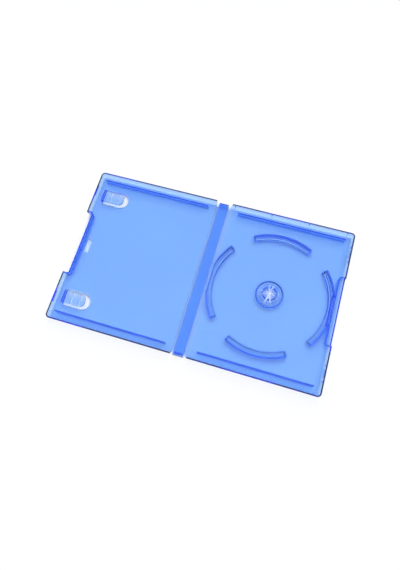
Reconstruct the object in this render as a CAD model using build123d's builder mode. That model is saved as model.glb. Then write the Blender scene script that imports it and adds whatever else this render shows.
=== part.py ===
from build123d import *
from math import cos, degrees, radians, sin
import os

# A folding disc case, lying open and flat on its outer faces.
# Millimetres: X runs from the front cover to the disc tray, Y along the spine, Z up.
# The origin is under the middle of the spine.

# Whole case
case_length = 171.4            # along the spine
spine_width = 12.8             # between the two hinge lines
floor = 1.3                    # thickness of a panel
wall = 1.3                     # thickness of a rim wall
inner_corner = 2.7             # inside radius of the rim walls at the free corners
inner_round = 3.0              # inside radius from a panel up into its rim wall
rim_gap = 0.35                 # between the two rims of the closed case

# Living hinges
hinge_web = 0.45               # thickness of the bending web
hinge_lift = 0.15              # height of the web above the outer faces
hinge_groove = 2.2             # width of the web

# Side walls at the hinges
cover_wall_foot = 1.4          # from the hinge line to the wall's end, at the panel
cover_wall_lean = 0.3          # how far that end leans back at the rim
tray_wall_foot = 1.8
tray_wall_lean = 1.7

# Spine
spine_floor = 1.6              # thickness of the spine
spine_end_wall = 1.1           # thickness of the wall at each end
spine_end_height = 5.6         # height of that wall above the outer face
spine_end_inset = 1.3          # from the spine's long edge to the wall's end
spine_end_clearance = 0.8      # from that wall to the side walls of the closed case
spine_end_round = 1.2          # outside rounding at each end

# Long ribs beside the side walls
rib_offset = 8.3               # from the case's end to the rib
rib_thickness = 1.2
rib_drop = 0.2                 # how far the rib stays below the rim
rib_bevel = 2.4                # slope at the hinge end of the cover's ribs
cover_rib_start = 9.0          # from the hinge line
cover_rib_end = 7.6            # from the free edge
tray_rib_start = 11.1
tray_rib_end = 8.6

# Thumb notches in the free edges
notch_half = 35.4              # half the length of a notch
notch_round = 2.0              # plan radius at the ends of a notch
cover_notch_depth = 6.3
cover_notch_cove = 2.2         # inside radius at the foot of the notch's wall
cover_ledge_inset = 3.7        # from the free edge to the cover's ledge
tray_notch_depth = 5.9
tray_notch_cove = 0.8
tray_notch_wall = 0.9          # thickness of the tray's wall around its notch
tray_lip_height = 3.0          # rim that is left outside the tray's notch

# Catch in the middle of the cover's notch, and its place in the tray
catch_half = 6.7
catch_wall = 0.9
catch_rise = 1.5               # how far the tab stands above the rim
catch_clearance = 0.3          # from the tab to the walls of the tray's pocket
catch_recess_gap = 2.8         # from the notch's wall to the thin patch beside the catch
catch_recess_width = 5.2
catch_recess_half = 7.4
catch_recess_floor = 0.35      # thickness that is left there
pocket_half = 14.8

# Latches near the free corners
latch_offset = 62.5            # from the middle of the free edge
latch_pad_length = 12.0
latch_pad_depth = 0.7
latch_pad_height = 1.8
latch_bead_length = 8.0
latch_bead_radius = 0.6
latch_bead_reach = 1.3         # from the wall to the bead's middle
latch_bead_drop = 2.2          # from the rim down to the bead's middle
latch_guide_spacing = 16.0     # between the two small ribs that flank a bead

# Small ribs on the tray's walls
guide_width = 1.0
guide_depth = 1.0
guide_drop = 0.5               # how far they stay below the rim
guide_count = 4                # along each side wall
guide_start = 6.3              # from the hinge line to the first
guide_end = 7.7                # from the free edge to the last

# Booklet clips on the cover
clip_offset = 59.6             # from the middle of the cover
clip_width = 13.3
clip_thickness = 1.2
clip_height = 4.9              # top of the tongue at its root
clip_root = 9.2                # these places are measured from the free edge
clip_mark = 14.3
clip_high_bend = 19.7
clip_low_bend = 28.1
clip_tip = 33.5
clip_dip = 1.0                 # how far the tongue dips between its bends
clip_lift = 0.8                # how far its tip turns up again
clip_tip_radius = 5.0
clip_mark_radius = 0.6         # small raised mark on the tongue
clip_mark_rise = 0.4
clip_groove_width = 1.6        # grooves across the tongue at its bends
clip_groove_floor = 0.4        # thickness that is left under them
clip_side_gap = 1.9            # from the tongue to the side of its window
clip_window_end = 38.2

# Disc, seat and hub
disc_diameter = 120.0
disc_hole = 15.0
disc_thickness = 1.2
disc_to_hinge = 4.7            # from the disc's edge to the hinge line
disc_to_edge = 9.8             # from the disc's edge to the free edge
seat_height = 3.8              # top of the seat above the outer face
seat_foot = 14.5               # radius where the seat meets the panel
seat_edge = 13.9               # radius of the flat seat
seat_wall = 1.45
finger_root = 9.6              # radius where a finger starts
finger_gap = 0.25              # from a finger's root to the seat
finger_wall = 1.1
finger_eye = 2.2               # radius of the open middle
finger_slit = 1.7
finger_narrow_half = 15.0      # half angle of the four narrow fingers
finger_count = 8
grip_clearance = 0.1           # from the fingers to the disc's hole
grip_snap = 0.15               # how far the fingers bulge above the disc
grip_room = 0.4                # above the disc, before the bulge starts
crown_rise = 3.4               # top of the fingers above the seat
crown_dip = 1.0                # how far their tips lie below that
crown_round = 0.8

# Hollow raised arcs around the disc: a ledge under its edge, and a higher lip outside it
rest_drop = 0.2                # how far the ledges stay below the seat
rest_lap = 1.6                 # how far they reach in under the disc
rest_room = 0.5                # from the disc's edge to the lip
rest_lip_width = 4.2
rest_lip_rise = 1.2            # how far the lip stands above its ledge
rest_wall = 0.95               # thickness of their walls
rest_draft = 0.1               # how far those walls lean
rest_end_half = 28.5           # half angle of the arcs towards the case's ends
rest_side_half = 38.5          # half angle of the arcs towards spine and free edge

# Shallow groove of the tray beside the hinge
groove_inset = 0.7             # from the panel's edge
groove_width = 1.2
groove_floor = 0.8             # thickness that is left under it

# Places worked out from the sizes above
panel_width = disc_to_hinge + disc_diameter + disc_to_edge
half_length = case_length / 2
hinge_line = spine_width / 2
hinge_height = hinge_lift + hinge_web / 2
rim_height = hinge_line + hinge_height - rim_gap / 2
plate_edge = hinge_line + hinge_groove / 2
spine_edge = hinge_line - hinge_groove / 2
free_edge = hinge_line + panel_width
inner_end = free_edge - wall
inner_half = half_length - wall
outer_corner = inner_corner + wall
outer_round = inner_round + wall
rib_outer = half_length - rib_offset
rib_inner = rib_outer - rib_thickness
rib_top = rim_height - rib_drop
cover_notch_face = free_edge - cover_notch_depth
tray_notch_face = free_edge - tray_notch_depth
tray_notch_inner = tray_notch_face - tray_notch_wall
catch_outer = tray_notch_inner - catch_clearance
catch_inner = catch_outer - catch_wall
pocket_inner = catch_inner - catch_clearance
clip_high = (free_edge - clip_high_bend, clip_height)
clip_low = (free_edge - clip_low_bend, clip_height - clip_dip)
hub_x = hinge_line + disc_to_hinge + disc_diameter / 2
hub_axis = Axis((hub_x, 0, 0), (0, 0, 1))
rest_top = seat_height - rest_drop
rest_inner = disc_diameter / 2 - rest_lap
rest_step = disc_diameter / 2 + rest_room
rest_outer = rest_step + rest_lip_width
lip_top = rest_top + rest_lip_rise
finger_base = seat_height - seat_wall
finger_hole = finger_root + finger_gap
grip_radius = disc_hole / 2 - grip_clearance
grip_top = seat_height + disc_thickness + grip_room
crown_top = seat_height + crown_rise
past = 1.0                     # how far a cut runs past the material
near = 0.01                    # how close a chosen edge lies to its place

cover_side = -1
tray_side = 1


def panel_plane(side, height=0.0):
    """Plan of a panel: its X runs from the spine to the free edge."""
    return Plane(origin=(0, 0, height), x_dir=(side, 0, 0), z_dir=(0, 0, 1))


def section_plane(side, place):
    """Upright section across a panel: its X runs to the free edge and its Y up."""
    return Plane(origin=(0, place, 0), x_dir=(side, 0, 0), z_dir=(0, -side, 0))


def radial_plane(angle):
    """Upright section through the hub: its X runs outwards and its Y up."""
    outwards = (cos(radians(angle)), sin(radians(angle)), 0)
    return Plane(origin=(hub_x, 0, 0), x_dir=outwards, z_dir=(outwards[1], -outwards[0], 0))


def block(side, across, along, height, mode=Mode.ADD, corner=0.0):
    """Box between pairs of limits, with round upright corners towards the spine."""
    with BuildSketch(panel_plane(side, height[0])) as plan:
        with Locations((sum(across) / 2, sum(along) / 2)):
            Rectangle(across[1] - across[0], along[1] - along[0])
        if corner:
            fillet(plan.vertices().group_by(Axis.X)[0], corner)
    extrude(plan.sketch, amount=height[1] - height[0], mode=mode)


def prism(side, place, width, points, mode=Mode.ADD):
    """Section given by its corners, drawn out to both sides of its place."""
    with BuildSketch(section_plane(side, place)) as section:
        with BuildLine():
            Polyline(*points, close=True)
        make_face()
    extrude(section.sketch, amount=width / 2, both=True, mode=mode)


def tub(panel, side):
    """Panel with rim walls on three sides, rounded inside and outside at their foot."""
    outwards = Axis((0, 0, 0), (side, 0, 0))
    with BuildSketch(panel_plane(side)) as footprint:
        with Locations(((plate_edge + free_edge) / 2, 0)):
            Rectangle(panel_width - hinge_groove / 2, case_length)
        fillet(footprint.vertices().group_by(Axis.X)[-1], outer_corner)
    extrude(footprint.sketch, amount=rim_height)
    foot_edges = panel.edges().filter_by_position(Axis.Z, -near, near)
    fillet(foot_edges.sort_by(outwards)[1:], outer_round)
    with BuildSketch(panel_plane(side, floor)) as cavity:
        with Locations((inner_end / 2, 0)):
            Rectangle(inner_end, 2 * inner_half)
        fillet(cavity.vertices().group_by(Axis.X)[-1], inner_corner)
    extrude(cavity.sketch, amount=rim_height, mode=Mode.SUBTRACT)
    inner_floor = panel.faces().filter_by_position(Axis.Z, floor - near, floor + near)
    floor_edges = inner_floor.sort_by(SortBy.AREA)[-1].edges()
    fillet(floor_edges.sort_by(outwards)[1:], inner_round)


def notch_wall(side, notch_face, thickness, cove_radius):
    """Wall around a thumb notch, with a cove at its foot inside the panel."""
    inner_face = notch_face - thickness
    cove_start = inner_face - cove_radius
    cove_top = floor + cove_radius
    cove_back = inner_face + thickness / 2
    with BuildSketch(panel_plane(side, floor / 2)) as plan:
        for inset, growth, mode in ((inner_face, thickness, Mode.ADD), (notch_face, 0, Mode.SUBTRACT)):
            with BuildSketch(mode=Mode.PRIVATE) as outline:
                with Locations(((inset + inner_end + wall / 2) / 2, 0)):
                    Rectangle(inner_end + wall / 2 - inset, 2 * (notch_half + growth))
                fillet(outline.vertices().group_by(Axis.X)[0], notch_round + growth)
            add(outline.sketch, mode=mode)
    extrude(plan.sketch, amount=rim_height - floor / 2)
    with BuildSketch(section_plane(side, 0)) as cove:
        with BuildLine():
            Polyline((cove_start, floor), (cove_start, floor / 2), (cove_back, floor / 2),
                     (cove_back, cove_top), (inner_face, cove_top))
            RadiusArc((inner_face, cove_top), (cove_start, floor), cove_radius)
        make_face()
    extrude(cove.sketch, amount=notch_half - notch_round, both=True)


def notch_cut(side, notch_face, height):
    """Take away the rim outside a notch's wall, down to a height."""
    block(side, (notch_face, free_edge + past), (-notch_half, notch_half),
          (height, rim_height + past), mode=Mode.SUBTRACT, corner=notch_round)


def wall_ends(side, foot, lean):
    """Trim the side walls so that they clear the spine when the case is shut."""
    start = hinge_line + foot
    prism(side, 0, case_length + 2 * past,
          [(0, -past), (plate_edge, -past), (plate_edge, floor), (start, floor),
           (start + lean, rim_height), (start + lean, rim_height + past), (0, rim_height + past)],
          mode=Mode.SUBTRACT)


def long_ribs(side, start, end, bevel):
    """One tall rib beside each side wall, with a sloping end at the hinge."""
    profile = [(start, floor / 2), (end, floor / 2), (end, rib_top), (start + bevel, rib_top)]
    if bevel:
        profile.append((start, rib_top - bevel))
    for end_sign in (-1, 1):
        prism(side, end_sign * (rib_inner + rib_outer) / 2, rib_thickness, profile)


def clip_window(side, place):
    """Opening under a booklet clip, straight at its root and round at its tip."""
    half_width = clip_width / 2 + clip_side_gap
    start = free_edge - clip_root - clip_thickness
    middle = free_edge - clip_window_end + half_width
    with BuildSketch(panel_plane(side)) as window:
        with Locations(((start + middle) / 2, side * place)):
            Rectangle(start - middle, 2 * half_width)
        with Locations((middle, side * place)):
            Circle(half_width)
    extrude(window.sketch, amount=floor, mode=Mode.SUBTRACT)


def clip_tongue(side, place):
    """Bent tongue over its window, on a thin root that stands on the panel."""
    root = free_edge - clip_root
    tip = (free_edge - clip_tip, clip_height - clip_dip + clip_lift)
    lower = [(x, z - clip_thickness) for x, z in (tip, clip_low, clip_high)]
    prism(side, place, clip_width,
          [(root, floor / 2), (root, clip_height), clip_high, clip_low, tip, *lower,
           (root - clip_thickness, clip_height - clip_thickness), (root - clip_thickness, floor / 2)])
    with BuildSketch(panel_plane(side, clip_height - clip_thickness / 2)) as mark:
        with Locations((free_edge - clip_mark, side * place)):
            Circle(clip_mark_radius)
    extrude(mark.sketch, amount=clip_thickness / 2 + clip_mark_rise)


def clip_grooves(side, place):
    """Groove across the tongue at each of its bends."""
    for bend, top in (clip_high, clip_low):
        block(side, (bend - clip_groove_width / 2, bend + clip_groove_width / 2),
              (side * place - clip_width / 2 - past, side * place + clip_width / 2 + past),
              (top - clip_thickness + clip_groove_floor, top + past), mode=Mode.SUBTRACT)


def ring_part(angle, half_angle, points):
    """Part of a ring around the hub, with a section given by its corners."""
    with BuildSketch(radial_plane(angle - half_angle)) as section:
        with BuildLine():
            Polyline(*points, close=True)
        make_face()
    revolve(section.sketch, axis=hub_axis, revolution_arc=2 * half_angle)


def disc_rest(angle, half_angle):
    """Hollow arc around the hub, with a ledge and a lip."""
    cavity_top = rest_top - rest_wall
    ring_part(angle, half_angle,
              [(rest_inner, floor / 2), (rest_inner + rest_draft, rest_top),
               (rest_step, rest_top), (rest_step + rest_draft, lip_top),
               (rest_outer - rest_draft, lip_top), (rest_outer, floor / 2)])
    with BuildPart(mode=Mode.PRIVATE) as cavity:
        ring_part(angle, half_angle - degrees(rest_wall / rest_outer),
                  [(rest_inner + rest_wall, -past), (rest_inner + rest_wall, cavity_top),
                   (rest_outer - rest_wall, cavity_top), (rest_outer - rest_wall, -past)])
        # Walls stay between the cavity and the hinge, the notch and the catch's pocket
        wall_ends(tray_side, tray_wall_foot + rest_wall, tray_wall_lean)
        for across, reach in (((0, hinge_line + tray_wall_foot + rest_wall), half_length),
                              ((tray_notch_inner - rest_wall, free_edge), half_length),
                              ((pocket_inner - rest_wall, free_edge), pocket_half + rest_wall)):
            block(tray_side, across, (-reach, reach), (-2 * past, rim_height), mode=Mode.SUBTRACT)
    add(cavity.part, mode=Mode.SUBTRACT)


def hub_seat():
    """Hollow round seat around the opening for the fingers."""
    with BuildSketch(radial_plane(0)) as opening:
        with BuildLine():
            Polyline((0, 0), (seat_foot, 0), (seat_foot, floor), (0, floor), close=True)
        make_face()
    revolve(opening.sketch, axis=hub_axis, mode=Mode.SUBTRACT)
    with BuildSketch(radial_plane(0)) as section:
        with BuildLine():
            Polyline((seat_foot, 0), (seat_foot, floor), (seat_edge, seat_height),
                     (finger_hole, seat_height), (finger_hole, finger_base),
                     (seat_edge - seat_wall / 2, finger_base), (seat_foot - seat_wall, 0), close=True)
        make_face()
    revolve(section.sketch, axis=hub_axis)


os.makedirs("parts", exist_ok=True)

# Front cover
with BuildPart() as front_cover:
    tub(front_cover, cover_side)
    notch_wall(cover_side, cover_notch_face, wall, cover_notch_cove)
    long_ribs(cover_side, hinge_line + cover_rib_start, free_edge - cover_rib_end, rib_bevel)
    notch_cut(cover_side, cover_notch_face, floor)
    block(cover_side, (free_edge - cover_ledge_inset, free_edge + past), (-notch_half, notch_half),
          (-past, floor + past), mode=Mode.SUBTRACT)
    for sign in (-1, 1):
        clip_window(cover_side, sign * clip_offset)
    for sign in (-1, 1):
        clip_tongue(cover_side, sign * clip_offset)
    tip_edges = front_cover.edges().filter_by(Axis.Z).filter_by_position(
        Axis.X, cover_side * (free_edge - clip_tip) - near, cover_side * (free_edge - clip_tip) + near)
    fillet(tip_edges, clip_tip_radius)
    for sign in (-1, 1):
        clip_grooves(cover_side, sign * clip_offset)
    # Catch: a tab against the inside of the notch's wall, beside a thin patch of the panel
    block(cover_side, (catch_inner, catch_outer), (-catch_half, catch_half),
          (floor / 2, rim_height + catch_rise))
    recess_end = cover_notch_face - wall - catch_recess_gap
    block(cover_side, (recess_end - catch_recess_width, recess_end),
          (-catch_recess_half, catch_recess_half), (catch_recess_floor, floor + past), mode=Mode.SUBTRACT)
    for sign in (-1, 1):
        block(cover_side, (inner_end - latch_pad_depth, inner_end + wall / 2),
              (sign * latch_offset - latch_pad_length / 2, sign * latch_offset + latch_pad_length / 2),
              (rim_height - latch_pad_height, rim_height))
    wall_ends(cover_side, cover_wall_foot, cover_wall_lean)
front_cover.part.label = "front_cover"
export_step(front_cover.part, "parts/front_cover.step")

# Spine
with BuildPart() as spine:
    block(tray_side, (-spine_edge, spine_edge), (-half_length, half_length), (0, spine_floor))
    end_edges = spine.edges().filter_by(Axis.X).filter_by_position(Axis.Z, -near, near)
    fillet(end_edges, spine_end_round)
    end_wall_outer = inner_half - spine_end_clearance
    for sign in (-1, 1):
        end_wall_place = sign * (end_wall_outer - spine_end_wall / 2)
        block(tray_side, (spine_end_inset - spine_edge, spine_edge - spine_end_inset),
              (end_wall_place - spine_end_wall / 2, end_wall_place + spine_end_wall / 2),
              (spine_floor / 2, spine_end_height))
spine.part.label = "spine"
export_step(spine.part, "parts/spine.step")

# Disc tray
with BuildPart() as disc_tray:
    tub(disc_tray, tray_side)
    notch_wall(tray_side, tray_notch_face, tray_notch_wall, tray_notch_cove)
    groove_start = plate_edge + groove_inset
    groove_half = inner_half - inner_round
    block(tray_side, (groove_start, groove_start + groove_width), (-groove_half, groove_half),
          (groove_floor, floor + past), mode=Mode.SUBTRACT)
    long_ribs(tray_side, hinge_line + tray_rib_start, free_edge - tray_rib_end, 0)
    for angle in (0, 180):
        disc_rest(angle, rest_side_half)
    for angle in (90, 270):
        disc_rest(angle, rest_end_half)
    hub_seat()
    notch_cut(tray_side, tray_notch_face, tray_lip_height)
    block(tray_side, (pocket_inner, tray_notch_inner), (-pocket_half, pocket_half),
          (floor, rim_height + past), mode=Mode.SUBTRACT)
    # Small upright ribs along the side walls
    guide_run = panel_width - guide_start - guide_end
    for number in range(guide_count):
        guide_place = hinge_line + guide_start + number * guide_run / (guide_count - 1)
        for sign in (-1, 1):
            block(tray_side, (guide_place - guide_width / 2, guide_place + guide_width / 2),
                  sorted((sign * (inner_half - guide_depth), sign * (inner_half + wall / 2))),
                  (floor, rim_height - guide_drop))
    # Latch beads on the free edge's wall, each between two small ribs
    for sign in (-1, 1):
        with BuildSketch(section_plane(tray_side, sign * latch_offset)):
            with Locations((inner_end - latch_bead_reach, rim_height - latch_bead_drop)):
                Circle(latch_bead_radius)
                Rectangle(latch_bead_reach + wall / 2, 2 * latch_bead_radius,
                          align=(Align.MIN, Align.CENTER))
        extrude(amount=latch_bead_length / 2, both=True)
        for step in (-1, 1):
            guide_place = sign * latch_offset + step * latch_guide_spacing / 2
            block(tray_side, (inner_end - guide_depth, inner_end + wall / 2),
                  (guide_place - guide_width / 2, guide_place + guide_width / 2),
                  (floor, rim_height - guide_drop))
    wall_ends(tray_side, tray_wall_foot, tray_wall_lean)
disc_tray.part.label = "disc_tray"
export_step(disc_tray.part, "parts/disc_tray.step")

# Hinge webs
for side, name in ((cover_side, "front_hinge_web"), (tray_side, "back_hinge_web")):
    with BuildPart() as hinge:
        block(side, (spine_edge, plate_edge), (outer_round - half_length, half_length - outer_round),
              (hinge_lift, hinge_lift + hinge_web))
    hinge.part.label = name
    export_step(hinge.part, f"parts/{name}.step")

# Hub fingers, narrow and wide in turn
finger_step = 360 / finger_count
finger_profile = [
    (finger_root, finger_base),
    (finger_root, seat_height),
    (grip_radius, seat_height),
    (grip_radius, grip_top),
    (grip_radius + grip_snap, grip_top + grip_room),
    (grip_radius - grip_snap, crown_top - crown_round / 2),
    (grip_radius - crown_round, crown_top),
    (finger_eye, crown_top - crown_dip),
    (finger_eye, crown_top - crown_dip - finger_wall),
    (grip_radius - finger_wall, crown_top - finger_wall - crown_round / 2),
    (grip_radius - finger_wall, finger_base),
]
for number in range(finger_count):
    middle_angle = number * finger_step
    half_angle = finger_narrow_half if number % 2 == 0 else finger_step - finger_narrow_half
    with BuildPart() as finger:
        with BuildSketch(radial_plane(middle_angle - half_angle)):
            with BuildLine():
                Polyline(*finger_profile, close=True)
            make_face()
        revolve(axis=hub_axis, revolution_arc=2 * half_angle)
        for slit_angle in (middle_angle - half_angle, middle_angle + half_angle):
            with Locations(Location((hub_x, 0, 0), (0, 0, slit_angle))):
                Box(finger_root + past, finger_slit, 2 * (crown_top + past),
                    align=(Align.MIN, Align.CENTER, Align.CENTER), mode=Mode.SUBTRACT)
    finger.part.label = f"hub_finger_{number + 1}"
    export_step(finger.part, f"parts/hub_finger_{number + 1}.step")
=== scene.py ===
"""Looks of a folding disc case in translucent blue plastic, dressed around its solids."""
import math

import bmesh
import bpy
from bpy.props import FloatProperty, FloatVectorProperty, IntProperty, PointerProperty
from mathutils import Matrix, Vector


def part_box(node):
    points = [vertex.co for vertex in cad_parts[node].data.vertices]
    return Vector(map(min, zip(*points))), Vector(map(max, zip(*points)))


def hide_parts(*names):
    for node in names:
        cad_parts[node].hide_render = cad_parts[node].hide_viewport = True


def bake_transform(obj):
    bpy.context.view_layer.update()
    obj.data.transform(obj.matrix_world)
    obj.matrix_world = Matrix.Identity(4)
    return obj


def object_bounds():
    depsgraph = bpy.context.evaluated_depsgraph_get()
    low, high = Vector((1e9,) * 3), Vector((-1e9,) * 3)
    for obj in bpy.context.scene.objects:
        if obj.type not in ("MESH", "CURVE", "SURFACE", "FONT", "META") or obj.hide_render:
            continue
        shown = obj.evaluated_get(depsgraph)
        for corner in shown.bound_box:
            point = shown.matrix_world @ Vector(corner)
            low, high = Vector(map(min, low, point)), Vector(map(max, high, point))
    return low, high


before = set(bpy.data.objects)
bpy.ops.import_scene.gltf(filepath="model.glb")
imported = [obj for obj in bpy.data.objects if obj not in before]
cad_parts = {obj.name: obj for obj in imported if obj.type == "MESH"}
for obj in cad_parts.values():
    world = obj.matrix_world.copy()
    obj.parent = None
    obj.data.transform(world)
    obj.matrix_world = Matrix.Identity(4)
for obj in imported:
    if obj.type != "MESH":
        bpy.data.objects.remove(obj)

bl_info = {
    "name": "Disc Case",
    "version": (1, 0, 0),
    "blender": (4, 5, 0),
    "location": "View3D > Sidebar > Disc Case",
    "description": "Dresses the solids of a folding disc case in translucent moulded plastic",
    "category": "Object",
}

SOLID_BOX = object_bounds()
FINGERS = sorted(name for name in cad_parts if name.startswith("hub_finger_"))

# Moulded finish: clouds for each metre, the part of their noise that counts, and what it does
CLOUD_SCALE = 14
CLOUD_DETAIL = 3
CLOUD_SPAN = (0.3, 0.7)
CLOUD_SHADE = (0.98, 1.0)
CLOUD_ROUGHNESS = (0.8, 1.2)
GRAIN_DETAIL = 2

# Degrees from the tray's side round to each lamp
LAMP_TURNS = {"right_lamp": 0, "left_lamp": 195}


# Settings that a user would change

class DiscCasePlastic(bpy.types.PropertyGroup):
    """Colour and finish of the moulded plastic"""
    tint: FloatVectorProperty(
        name="Tint", description="Colour that a surface gives to light passing through it",
        subtype="COLOR", size=3, min=0, max=1, default=(0.98, 0.99, 1.0))
    depth_colour: FloatVectorProperty(
        name="Depth colour", description="Colour that stays when light travels through thick plastic",
        subtype="COLOR", size=3, min=0, max=1, default=(0.0, 0.50, 0.98))
    density: FloatProperty(
        name="Density", description="Absorption for each metre of plastic", min=0, default=575)
    spine_density: FloatProperty(
        name="Spine density", description="Absorption for each metre of the spine's deeper plastic",
        min=0, default=760)
    hinge_density: FloatProperty(
        name="Hinge density", description="Absorption for each metre of the webs' stretched plastic",
        min=0, default=2000)
    refraction: FloatProperty(
        name="Refraction", description="Index of refraction of the plastic", min=1, default=1.49)
    roughness: FloatProperty(
        name="Roughness", description="Mean roughness of the moulded faces", min=0, max=1, default=0.04)
    grain_scale: FloatProperty(
        name="Grain scale", description="Grains for each metre of moulded surface", min=0, default=900)
    grain_height: FloatProperty(
        name="Grain height", description="Height of the moulded grain", unit="LENGTH",
        min=0, default=0.00002)
    grain_strength: FloatProperty(
        name="Grain strength", description="How much of the grain's height is felt", subtype="FACTOR",
        min=0, max=1, default=0.3)


class DiscCaseHinges(bpy.types.PropertyGroup):
    """Shape of the two living hinges"""
    cuts: IntProperty(
        name="Cuts", description="Cuts across each web, so that it bends smoothly", min=3, default=13)
    waist: FloatProperty(
        name="Waist", description="Share of the web's thickness that is left along its middle",
        subtype="FACTOR", min=0.1, max=1, default=0.4)
    clearance: FloatProperty(
        name="Clearance", description="Gap between a web and the edges that it joins",
        unit="LENGTH", min=0, default=0.00001)


class DiscCaseStage(bpy.types.PropertyGroup):
    """Floor, light and camera"""
    floor_colour: FloatVectorProperty(
        name="Floor colour", description="Colour of the plain floor",
        subtype="COLOR", size=3, min=0, max=1, default=(0.95, 0.95, 0.95))
    floor_size: FloatProperty(
        name="Floor size", description="Length of the floor's sides", unit="LENGTH", min=1, default=8)
    floor_drop: FloatProperty(
        name="Floor drop", description="Gap between the case and the floor", unit="LENGTH",
        min=0, default=0.0002)
    open_glow: FloatProperty(
        name="Open glow", description="Share of plain white that is seen in the open floor",
        subtype="FACTOR", min=0, max=1, default=0.85)
    covered_glow: FloatProperty(
        name="Covered glow", description="Share of plain white that is seen in the floor under the case",
        subtype="FACTOR", min=0, max=1, default=0.05)
    glow_border: FloatProperty(
        name="Glow border", description="Width inside the case's outline over which the glow changes",
        unit="LENGTH", min=0.001, default=0.002)
    fill_colour: FloatVectorProperty(
        name="Fill colour", description="Colour of the light from all round",
        subtype="COLOR", size=3, min=0, max=1, default=(0.75, 0.84, 1.0))
    fill_strength: FloatProperty(
        name="Fill strength", description="Level of the light from all round", min=0, default=0.36)
    back_light: FloatVectorProperty(
        name="Back light", description="Direction of the soft light low behind the case",
        subtype="DIRECTION", size=3, default=(-0.03, 0.85, 0.53))
    back_strength: FloatProperty(
        name="Back strength", description="Level in the middle of the light behind the case",
        min=0, default=6.2)
    back_focus: FloatProperty(
        name="Back focus", description="How narrow the light behind the case is", min=1, default=8)
    lamp_power: FloatProperty(
        name="Lamp power", description="Power of each small lamp", unit="POWER", min=0, default=1.2)
    lamp_size: FloatProperty(
        name="Lamp size", description="Length of a lamp's sides", unit="LENGTH", min=0, default=0.4)
    lamp_distance: FloatProperty(
        name="Lamp distance", description="From the case to each lamp", unit="LENGTH",
        min=0.2, default=1.0)
    lamp_height: FloatProperty(
        name="Lamp height", description="Angle of the lamps above the floor", subtype="ANGLE",
        min=0, max=math.pi / 2, default=math.radians(38))
    bounces: IntProperty(
        name="Bounces", description="Bounces of light that are followed inside the plastic",
        min=4, default=32)
    eye: FloatVectorProperty(
        name="Eye", description="Place of the camera", subtype="TRANSLATION", unit="LENGTH",
        size=3, default=(0.05585, -0.12572, 0.42364))
    target: FloatVectorProperty(
        name="Target", description="Point that the camera looks at", subtype="TRANSLATION", unit="LENGTH",
        size=3, default=(0.00038, -0.00923, 0.0))
    roll: FloatProperty(
        name="Roll", description="Turn of the camera about its line of sight", subtype="ANGLE",
        default=0.300)
    lens: FloatProperty(
        name="Lens", description="Focal length of the camera", unit="CAMERA", min=1, default=27.094)
    sensor: FloatProperty(
        name="Sensor", description="Long side of the camera's sensor", unit="CAMERA", min=1, default=36)
    nearest: FloatProperty(
        name="Nearest", description="Shortest distance that the camera sees", unit="LENGTH",
        min=0.001, default=0.01)


# Nodes that more than one material uses

def math_node(nodes, links, operation, *values):
    """Work out sockets and plain numbers with one another, and hand back the result."""
    node = nodes.new("ShaderNodeMath")
    node.operation = operation
    for value, socket in zip(values, node.inputs):
        if isinstance(value, bpy.types.NodeSocket):
            links.new(value, socket)
        else:
            socket.default_value = value
    return node.outputs["Value"]


def map_range(nodes, links, value, span, result):
    """Turn one span of values into another, and hand back the result."""
    node = nodes.new("ShaderNodeMapRange")
    for label, number in zip(("From Min", "From Max", "To Min", "To Max"), (*span, *result)):
        node.inputs[label].default_value = number
    links.new(value, node.inputs["Value"])
    return node.outputs["Result"]


def mix_shaders(nodes, links, share, first, second):
    """Mix the second shader into the first by its share, and hand back the result."""
    node = nodes.new("ShaderNodeMixShader")
    links.new(share, node.inputs["Fac"])
    links.new(first, node.inputs[1])
    links.new(second, node.inputs[2])
    return node.outputs["Shader"]


def seen_rays(nodes, links, rays):
    """Rays of the lens, straight or by way of the plastic's surfaces."""
    glossy = rays.outputs["Is Glossy Ray"]
    bent = math_node(nodes, links, "MAXIMUM", rays.outputs["Is Transmission Ray"], glossy)
    return math_node(nodes, links, "MAXIMUM", rays.outputs["Is Camera Ray"], bent)


# Materials

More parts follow.
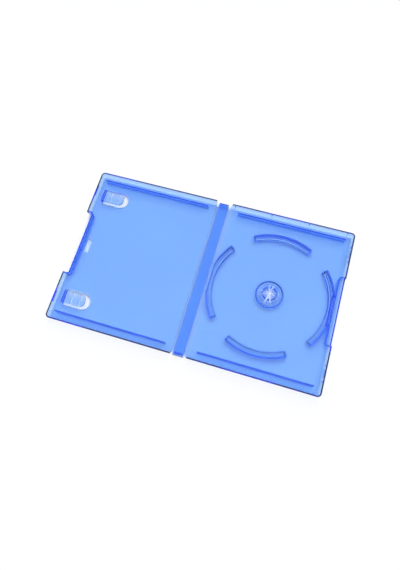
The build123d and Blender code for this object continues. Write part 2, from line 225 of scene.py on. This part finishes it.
def moulded_surface_group():
    """Node group of the moulded finish: faint clouds in colour and roughness, and a fine grain."""
    name = "Moulded surface"
    if name in bpy.data.node_groups:
        return bpy.data.node_groups[name]
    group = bpy.data.node_groups.new(name, "ShaderNodeTree")
    for label, kind in (("Tint", "NodeSocketColor"), ("Roughness", "NodeSocketFloat"),
                        ("Grain scale", "NodeSocketFloat")):
        group.interface.new_socket(label, in_out="INPUT", socket_type=kind)
    for label, kind in (("Colour", "NodeSocketColor"), ("Roughness", "NodeSocketFloat"),
                        ("Height", "NodeSocketFloat")):
        group.interface.new_socket(label, in_out="OUTPUT", socket_type=kind)
    nodes, links = group.nodes, group.links
    entry = nodes.new("NodeGroupInput")
    leave = nodes.new("NodeGroupOutput")
    place = nodes.new("ShaderNodeTexCoord")
    clouds = nodes.new("ShaderNodeTexNoise")
    clouds.inputs["Scale"].default_value = CLOUD_SCALE
    clouds.inputs["Detail"].default_value = CLOUD_DETAIL
    links.new(place.outputs["Object"], clouds.inputs["Vector"])
    colour = nodes.new("ShaderNodeMix")
    colour.data_type = "RGBA"
    colour.blend_type = "MULTIPLY"
    colour.inputs["Factor"].default_value = 1
    links.new(entry.outputs["Tint"], colour.inputs["A"])
    shade = map_range(nodes, links, clouds.outputs["Fac"], CLOUD_SPAN, CLOUD_SHADE)
    links.new(shade, colour.inputs["B"])
    links.new(colour.outputs["Result"], leave.inputs["Colour"])
    spread = map_range(nodes, links, clouds.outputs["Fac"], (0, 1), CLOUD_ROUGHNESS)
    roughness = math_node(nodes, links, "MULTIPLY", entry.outputs["Roughness"], spread)
    links.new(roughness, leave.inputs["Roughness"])
    grain = nodes.new("ShaderNodeTexNoise")
    grain.inputs["Detail"].default_value = GRAIN_DETAIL
    links.new(place.outputs["Object"], grain.inputs["Vector"])
    links.new(entry.outputs["Grain scale"], grain.inputs["Scale"])
    links.new(grain.outputs["Fac"], leave.inputs["Height"])
    return group


def translucent_plastic(name, density):
    """Clear blue plastic that deepens with the thickness that light travels through."""
    plastic = bpy.context.scene.disc_case_plastic
    material = bpy.data.materials.new(name)
    material.use_nodes = True
    nodes, links = material.node_tree.nodes, material.node_tree.links
    shader = nodes["Principled BSDF"]
    shader.inputs["Transmission Weight"].default_value = 1
    shader.inputs["IOR"].default_value = plastic.refraction
    finish = nodes.new("ShaderNodeGroup")
    finish.node_tree = moulded_surface_group()
    finish.inputs["Tint"].default_value = (*plastic.tint, 1)
    finish.inputs["Roughness"].default_value = plastic.roughness
    finish.inputs["Grain scale"].default_value = plastic.grain_scale
    links.new(finish.outputs["Colour"], shader.inputs["Base Color"])
    links.new(finish.outputs["Roughness"], shader.inputs["Roughness"])
    grain = nodes.new("ShaderNodeBump")
    grain.inputs["Distance"].default_value = plastic.grain_height
    grain.inputs["Strength"].default_value = plastic.grain_strength
    links.new(finish.outputs["Height"], grain.inputs["Height"])
    links.new(grain.outputs["Normal"], shader.inputs["Normal"])
    depth = nodes.new("ShaderNodeVolumeAbsorption")
    depth.inputs["Color"].default_value = (*plastic.depth_colour, 1)
    depth.inputs["Density"].default_value = density
    links.new(depth.outputs["Volume"], nodes["Material Output"].inputs["Volume"])
    return material


def white_floor(stage):
    """White floor that shows as the background. Outside the case's outline it glows as painted light over
    most of the case's shadow, and under the case it keeps a soft shade.
    """
    material = bpy.data.materials.new("white_floor")
    material.use_nodes = True
    nodes, links = material.node_tree.nodes, material.node_tree.links
    shader = nodes["Principled BSDF"]
    shader.inputs["Base Color"].default_value = (*stage.floor_colour, 1)
    shader.inputs["Roughness"].default_value = 1
    shader.inputs["Specular IOR Level"].default_value = 0
    place = nodes.new("ShaderNodeTexCoord")
    parts = nodes.new("ShaderNodeSeparateXYZ")
    links.new(place.outputs["Object"], parts.inputs["Vector"])
    # Painted light: the floor glows plain white outside the case's outline and in a thin band just inside
    # it, which washes out most of the case's shadow there and lightens the floor seen through the rim
    # walls; under the case the glow is small, so that the real shade shows
    glows = []
    for axis, reach in (("X", SOLID_BOX[1].x), ("Y", SOLID_BOX[1].y)):
        distance = math_node(nodes, links, "ABSOLUTE", parts.outputs[axis])
        border = (reach - stage.glow_border, reach)
        glows.append(map_range(nodes, links, distance, border, (stage.covered_glow, stage.open_glow)))
    widest_glow = math_node(nodes, links, "MAXIMUM", *glows)
    rays = nodes.new("ShaderNodeLightPath")
    share = math_node(nodes, links, "MULTIPLY", seen_rays(nodes, links, rays), widest_glow)
    white = nodes.new("ShaderNodeEmission")
    above = mix_shaders(nodes, links, share, shader.outputs["BSDF"], white.outputs["Emission"])
    # From below the floor is clear, so that the underside of the case can be seen
    side = nodes.new("ShaderNodeNewGeometry")
    clear = nodes.new("ShaderNodeBsdfTransparent")
    both = mix_shaders(nodes, links, side.outputs["Backfacing"], above, clear.outputs["BSDF"])
    links.new(both, nodes["Material Output"].inputs["Surface"])
    return material


# Pieces

def dress(names, material):
    """Give solids of the case their finish."""
    for name in names:
        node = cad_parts[name]
        node.data.materials.clear()
        node.data.materials.append(material)


def add_piece(name, shape, material):
    """Turn a finished shape into an object of the scene."""
    mesh = bpy.data.meshes.new(name)
    shape.to_mesh(mesh)
    shape.free()
    mesh.materials.append(material)
    piece = bpy.data.objects.new(name, mesh)
    bpy.context.scene.collection.objects.link(piece)
    return piece


def hinge_web(name, node, material):
    """Thin web with a waist along its middle, between the two bodies of its joint."""
    hinges = bpy.context.scene.disc_case_hinges
    low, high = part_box(node)
    low.x += hinges.clearance
    high.x -= hinges.clearance
    size = high - low
    middle = (low + high) / 2
    shape = bmesh.new()
    bmesh.ops.create_cube(shape, size=1)
    bmesh.ops.scale(shape, vec=size, verts=shape.verts)
    bmesh.ops.translate(shape, vec=middle, verts=shape.verts)
    across = [edge for edge in shape.edges if abs(edge.verts[0].co.x - edge.verts[1].co.x) > size.x / 2]
    bmesh.ops.subdivide_edges(shape, edges=across, cuts=hinges.cuts, use_grid_fill=True)
    for vert in shape.verts:
        side = (vert.co.x - middle.x) / (size.x / 2)
        share = hinges.waist + (1 - hinges.waist) * side * side
        vert.co.z = middle.z + (vert.co.z - middle.z) * share
    piece = add_piece(name, shape, material)
    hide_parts(node)
    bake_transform(piece)


class DISCCASE_OT_panels(bpy.types.Operator):
    """Finish the front cover and the disc tray"""
    bl_idname = "disc_case.panels"
    bl_label = "Panels"

    def execute(self, context):
        plastic = context.scene.disc_case_plastic
        dress(["front_cover", "disc_tray"], translucent_plastic("panel_plastic", plastic.density))
        return {"FINISHED"}


class DISCCASE_OT_spine(bpy.types.Operator):
    """Finish the spine"""
    bl_idname = "disc_case.spine"
    bl_label = "Spine"

    def execute(self, context):
        plastic = context.scene.disc_case_plastic
        dress(["spine"], translucent_plastic("spine_plastic", plastic.spine_density))
        return {"FINISHED"}


class DISCCASE_OT_hub(bpy.types.Operator):
    """Finish the sprung fingers of the hub"""
    bl_idname = "disc_case.hub"
    bl_label = "Hub"

    def execute(self, context):
        plastic = context.scene.disc_case_plastic
        dress(FINGERS, translucent_plastic("hub_plastic", plastic.density))
        return {"FINISHED"}


class DISCCASE_OT_hinges(bpy.types.Operator):
    """Model the two living hinges"""
    bl_idname = "disc_case.hinges"
    bl_label = "Hinges"

    def execute(self, context):
        plastic = context.scene.disc_case_plastic
        material = translucent_plastic("hinge_plastic", plastic.hinge_density)
        hinge_web("front_hinge", "front_hinge_web", material)
        hinge_web("back_hinge", "back_hinge_web", material)
        return {"FINISHED"}


class DISCCASE_OT_stage(bpy.types.Operator):
    """Set up the floor, the light and the camera"""
    bl_idname = "disc_case.stage"
    bl_label = "Stage"

    def execute(self, context):
        stage = context.scene.disc_case_stage
        self.add_floor(stage)
        self.add_world(context, stage)
        for name, turn in LAMP_TURNS.items():
            self.add_lamp(name, math.radians(turn), stage)
        self.add_camera(context, stage)
        self.set_paths(context, stage)
        return {"FINISHED"}

    def add_floor(self, stage):
        """Wide floor just below the case."""
        shape = bmesh.new()
        bmesh.ops.create_grid(shape, x_segments=1, y_segments=1, size=stage.floor_size / 2)
        bmesh.ops.translate(shape, vec=(0, 0, SOLID_BOX[0].z - stage.floor_drop), verts=shape.verts)
        add_piece("floor", shape, white_floor(stage))

    def add_world(self, context, stage):
        """Dim light from all round and a soft light behind the case, in front of plain white."""
        world = bpy.data.worlds.new("studio")
        context.scene.world = world
        world.use_nodes = True
        nodes, links = world.node_tree.nodes, world.node_tree.links
        fill = nodes["Background"]
        fill.inputs["Color"].default_value = (*stage.fill_colour, 1)
        fill.inputs["Strength"].default_value = stage.fill_strength
        place = nodes.new("ShaderNodeTexCoord")
        facing = nodes.new("ShaderNodeVectorMath")
        facing.operation = "DOT_PRODUCT"
        facing.inputs[1].default_value = Vector(stage.back_light).normalized()
        links.new(place.outputs["Generated"], facing.inputs[0])
        front = math_node(nodes, links, "MAXIMUM", facing.outputs["Value"], 0)
        spread = math_node(nodes, links, "POWER", front, stage.back_focus)
        level = math_node(nodes, links, "MULTIPLY", spread, stage.back_strength)
        back = nodes.new("ShaderNodeBackground")
        back.inputs["Color"].default_value = (1, 1, 1, 1)
        links.new(level, back.inputs["Strength"])
        light = nodes.new("ShaderNodeAddShader")
        links.new(fill.outputs["Background"], light.inputs[0])
        links.new(back.outputs["Background"], light.inputs[1])
        # Rays that left the floor find the lights, through the plastic too, and rays of the lens find white
        rays = nodes.new("ShaderNodeLightPath")
        before_floor = math_node(nodes, links, "LESS_THAN", rays.outputs["Diffuse Depth"], 1)
        share = math_node(nodes, links, "MULTIPLY", seen_rays(nodes, links, rays), before_floor)
        white = nodes.new("ShaderNodeBackground")
        white.inputs["Color"].default_value = (1, 1, 1, 1)
        both = mix_shaders(nodes, links, share, light.outputs["Shader"], white.outputs["Background"])
        links.new(both, nodes["World Output"].inputs["Surface"])

    def add_lamp(self, name, turn, stage):
        """Small lamp that looks at the middle of the case."""
        lamp = bpy.data.lights.new(name, "AREA")
        lamp.size = stage.lamp_size
        lamp.energy = stage.lamp_power
        level = math.cos(stage.lamp_height)
        towards = Vector((math.cos(turn) * level, math.sin(turn) * level, math.sin(stage.lamp_height)))
        holder = bpy.data.objects.new(name, lamp)
        holder.location = towards * stage.lamp_distance
        holder.rotation_mode = "QUATERNION"
        holder.rotation_quaternion = (-towards).to_track_quat("-Z", "Y")
        bpy.context.scene.collection.objects.link(holder)

    def add_camera(self, context, stage):
        """Camera above the near edge, turned a little about its line of sight."""
        eye, target = Vector(stage.eye), Vector(stage.target)
        ahead = (target - eye).normalized()
        right = ahead.cross(Vector((0, 1, 0))).normalized()
        up = right.cross(ahead)
        upright = Matrix((right, up, -ahead)).transposed()
        camera = bpy.data.cameras.new("camera")
        camera.lens = stage.lens
        camera.sensor_width = stage.sensor
        camera.clip_start = stage.nearest
        holder = bpy.data.objects.new("camera", camera)
        turned = upright @ Matrix.Rotation(stage.roll, 3, "Z")
        holder.matrix_world = Matrix.Translation(eye) @ turned.to_4x4()
        context.scene.collection.objects.link(holder)
        context.scene.camera = holder
        context.scene.view_settings.view_transform = "Standard"

    def set_paths(self, context, stage):
        """Sharp light paths and many bounces, which the edges of clear plastic need."""
        paths = context.scene.cycles
        paths.blur_glossy = 0
        paths.max_bounces = stage.bounces
        paths.glossy_bounces = stage.bounces
        paths.transmission_bounces = stage.bounces


class DISCCASE_PT_sidebar(bpy.types.Panel):
    """Lists the pieces of the disc case and their settings"""
    bl_idname = "DISCCASE_PT_sidebar"
    bl_label = "Disc Case"
    bl_space_type = "VIEW_3D"
    bl_region_type = "UI"
    bl_category = "Disc Case"

    def draw(self, context):
        for operator in OPERATORS:
            self.layout.operator(operator.bl_idname)
        for settings in SETTINGS:
            group = getattr(context.scene, settings)
            box = self.layout.box()
            for name in group.bl_rna.properties.keys():
                if name not in {"rna_type", "name"}:
                    box.prop(group, name)


OPERATORS = (
    DISCCASE_OT_panels,
    DISCCASE_OT_spine,
    DISCCASE_OT_hub,
    DISCCASE_OT_hinges,
    DISCCASE_OT_stage,
)
SETTINGS = {
    "disc_case_plastic": DiscCasePlastic,
    "disc_case_hinges": DiscCaseHinges,
    "disc_case_stage": DiscCaseStage,
}


def register():
    for cls in (*SETTINGS.values(), *OPERATORS, DISCCASE_PT_sidebar):
        bpy.utils.register_class(cls)
    for name, cls in SETTINGS.items():
        setattr(bpy.types.Scene, name, PointerProperty(type=cls))


def unregister():
    for name in SETTINGS:
        delattr(bpy.types.Scene, name)
    for cls in reversed((*SETTINGS.values(), *OPERATORS, DISCCASE_PT_sidebar)):
        bpy.utils.unregister_class(cls)


def main():
    register()
    bpy.ops.disc_case.panels()
    bpy.ops.disc_case.spine()
    bpy.ops.disc_case.hub()
    bpy.ops.disc_case.hinges()
    bpy.ops.disc_case.stage()


if __name__ == "__main__":
    main()
